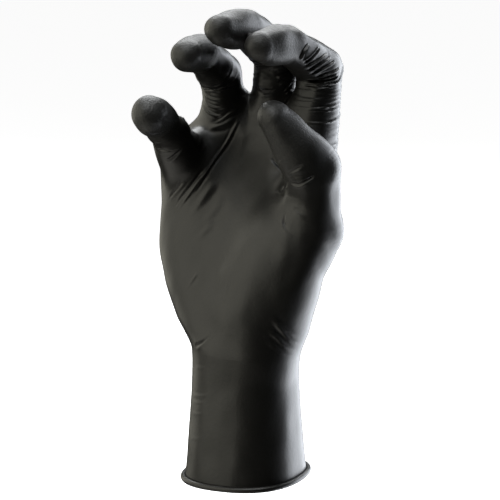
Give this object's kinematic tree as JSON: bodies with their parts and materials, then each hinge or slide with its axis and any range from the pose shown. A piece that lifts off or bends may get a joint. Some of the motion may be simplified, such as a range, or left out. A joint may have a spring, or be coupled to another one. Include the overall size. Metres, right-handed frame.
{
  "type": "nitrile glove",
  "caption": "Thin dipped glove in a worn right-hand shape with the fingers curled over the palm, hollow and open at a cuff that ends in a rolled bead.",
  "frame": {"origin": "centre of the open end of the cuff, where a wrist goes in", "axes": "+Z from the cuff along the forearm towards the fingers, the palm faces -Y, the thumb side is +X"},
  "size_m": [0.0932, 0.0805, 0.2102],
  "materials": {
    "nitrile_film": "black, satin, with fine stretch wrinkles"
  },
  "bodies": {
    "root": {"glove_shell": "nitrile_film"}
  },
  "joints": []
}
